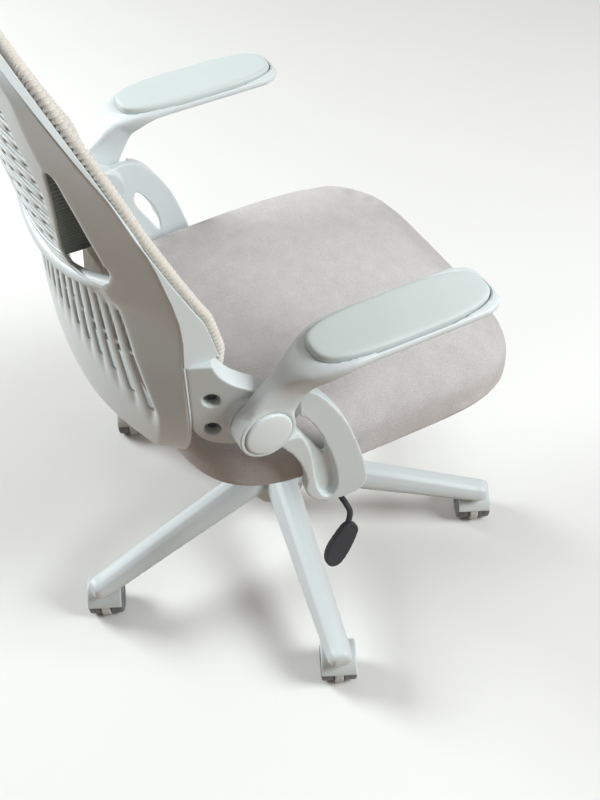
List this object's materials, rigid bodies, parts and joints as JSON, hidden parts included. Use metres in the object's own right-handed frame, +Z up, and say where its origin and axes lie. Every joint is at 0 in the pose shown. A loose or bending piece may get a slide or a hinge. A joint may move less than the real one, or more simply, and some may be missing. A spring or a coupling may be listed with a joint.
{
  "type": "office chair",
  "caption": "Swivel office chair with a slotted back and mesh backrest, flip-up armrests, upholstered seat, tilt mechanism, gas lift and a star base on twin-wheel castors.",
  "frame": {"origin": "on the floor, on the axis of the column", "axes": "+Z up along the column, -Y towards the front of the seat, -X towards the sitter's right, where the lever is"},
  "size_m": [0.6794, 0.6675, 1.01],
  "materials": {
    "grey_plastic": "light grey with a mint tint, satin",
    "pad_plastic": "soft satin polyurethane",
    "seat_fabric": "fine woven, warm light grey",
    "mesh_fabric": "knitted mesh, beige white",
    "black_plastic": "black, satin",
    "dark_plastic": "dark grey, matt",
    "wheel_plastic": "dark grey nylon and soft tread",
    "black_steel": "black powder coat",
    "steel": "zinc plated"
  },
  "bodies": {
    "base": {"base_star": "grey_plastic", "column_tube": "black_steel"},
    "lift": {"gas_spring": "black_steel"},
    "mechanism": {"mechanism_housing": "black_steel", "tilt_axle": "steel"},
    "seat_frame": {"top_plate": "black_steel", "plate_bolts": "steel", "seat_pan": "dark_plastic", "seat_cushion": "seat_fabric", "bracket_right": "grey_plastic", "bracket_left": "grey_plastic", "bracket_screws_right": "steel", "bracket_screws_left": "steel", "foot_bolts_right": "steel", "foot_bolts_left": "steel", "pivot_pin_right": "steel", "pivot_pin_left": "steel", "back_frame": "grey_plastic", "mesh_panel": "mesh_fabric"},
    "lever": {"lever_rod": "black_steel", "lever_paddle": "black_plastic"},
    "knob": {"tension_knob": "black_plastic", "knob_screw": "steel"},
    "armrest_right": {"arm_right": "grey_plastic", "arm_pad_right": "pad_plastic", "hub_cap_right": "grey_plastic"},
    "armrest_left": {"arm_left": "grey_plastic", "arm_pad_left": "pad_plastic", "hub_cap_left": "grey_plastic"},
    "castor_1": {"castor_hood_1": "grey_plastic", "castor_stem_1": "steel", "castor_axle_1": "steel"},
    "wheels_1": {"castor_wheels_1": "wheel_plastic"},
    "castor_2": {"castor_hood_2": "grey_plastic", "castor_stem_2": "steel", "castor_axle_2": "steel"},
    "wheels_2": {"castor_wheels_2": "wheel_plastic"},
    "castor_3": {"castor_hood_3": "grey_plastic", "castor_stem_3": "steel", "castor_axle_3": "steel"},
    "wheels_3": {"castor_wheels_3": "wheel_plastic"},
    "castor_4": {"castor_hood_4": "grey_plastic", "castor_stem_4": "steel", "castor_axle_4": "steel"},
    "wheels_4": {"castor_wheels_4": "wheel_plastic"},
    "castor_5": {"castor_hood_5": "grey_plastic", "castor_stem_5": "steel", "castor_axle_5": "steel"},
    "wheels_5": {"castor_wheels_5": "wheel_plastic"}
  },
  "joints": [
    {"name": "lift_slide", "type": "slide", "parent": "base", "child": "lift", "axis": [0, 0, 1], "range_m": [-0.045, 0.08]},
    {"name": "seat_swivel", "type": "hinge", "parent": "lift", "child": "mechanism", "pos_m": [0, 0, 0.35], "axis": [0, 0, 1], "continuous": true},
    {"name": "seat_tilt", "type": "hinge", "parent": "mechanism", "child": "seat_frame", "pos_m": [0, -0.03, 0.354], "axis": [-1, 0, 0], "range_deg": [0, 10], "stiffness_Nm_per_rad": 120, "springref_deg": -22.92},
    {"name": "lever_turn", "type": "hinge", "parent": "mechanism", "child": "lever", "pos_m": [-0.05, 0.016, 0.336], "axis": [1, 0, 0], "range_deg": [0, 12], "stiffness_Nm_per_rad": 0.6, "springref_deg": -11.46},
    {"name": "knob_turn", "type": "hinge", "parent": "mechanism", "child": "knob", "pos_m": [0, -0.08, 0.32], "axis": [0, 0, 1], "range_deg": [-720, 720]},
    {"name": "armrest_right_flip", "type": "hinge", "parent": "seat_frame", "child": "armrest_right", "pos_m": [-0.27, 0.138, 0.554], "axis": [-1, 0, 0], "range_deg": [0, 90]},
    {"name": "armrest_left_flip", "type": "hinge", "parent": "seat_frame", "child": "armrest_left", "pos_m": [0.27, 0.138, 0.554], "axis": [-1, 0, 0], "range_deg": [0, 90]},
    {"name": "castor_1_swivel", "type": "hinge", "parent": "base", "child": "castor_1", "pos_m": [-0.03875, 0.31563, 0.06], "axis": [0, 0, 1], "continuous": true},
    {"name": "castor_1_roll", "type": "hinge", "parent": "castor_1", "child": "wheels_1", "pos_m": [-0.02607, 0.30971, 0.027], "axis": [0.4226, 0.9063, 0], "continuous": true},
    {"name": "castor_2_swivel", "type": "hinge", "parent": "base", "child": "castor_2", "pos_m": [-0.31216, 0.06068, 0.06], "axis": [0, 0, 1], "continuous": true},
    {"name": "castor_2_roll", "type": "hinge", "parent": "castor_2", "child": "wheels_2", "pos_m": [-0.29947, 0.05476, 0.027], "axis": [0.4226, 0.9063, 0], "continuous": true},
    {"name": "castor_3_swivel", "type": "hinge", "parent": "base", "child": "castor_3", "pos_m": [-0.15417, -0.27813, 0.06], "axis": [0, 0, 1], "continuous": true},
    {"name": "castor_3_roll", "type": "hinge", "parent": "castor_3", "child": "wheels_3", "pos_m": [-0.14148, -0.28405, 0.027], "axis": [0.4226, 0.9063, 0], "continuous": true},
    {"name": "castor_4_swivel", "type": "hinge", "parent": "base", "child": "castor_4", "pos_m": [0.21688, -0.23257, 0.06], "axis": [0, 0, 1], "continuous": true},
    {"name": "castor_4_roll", "type": "hinge", "parent": "castor_4", "child": "wheels_4", "pos_m": [0.22956, -0.23849, 0.027], "axis": [0.4226, 0.9063, 0], "continuous": true},
    {"name": "castor_5_swivel", "type": "hinge", "parent": "base", "child": "castor_5", "pos_m": [0.28821, 0.13439, 0.06], "axis": [0, 0, 1], "continuous": true},
    {"name": "castor_5_roll", "type": "hinge", "parent": "castor_5", "child": "wheels_5", "pos_m": [0.30089, 0.12848, 0.027], "axis": [0.4226, 0.9063, 0], "continuous": true}
  ]
}
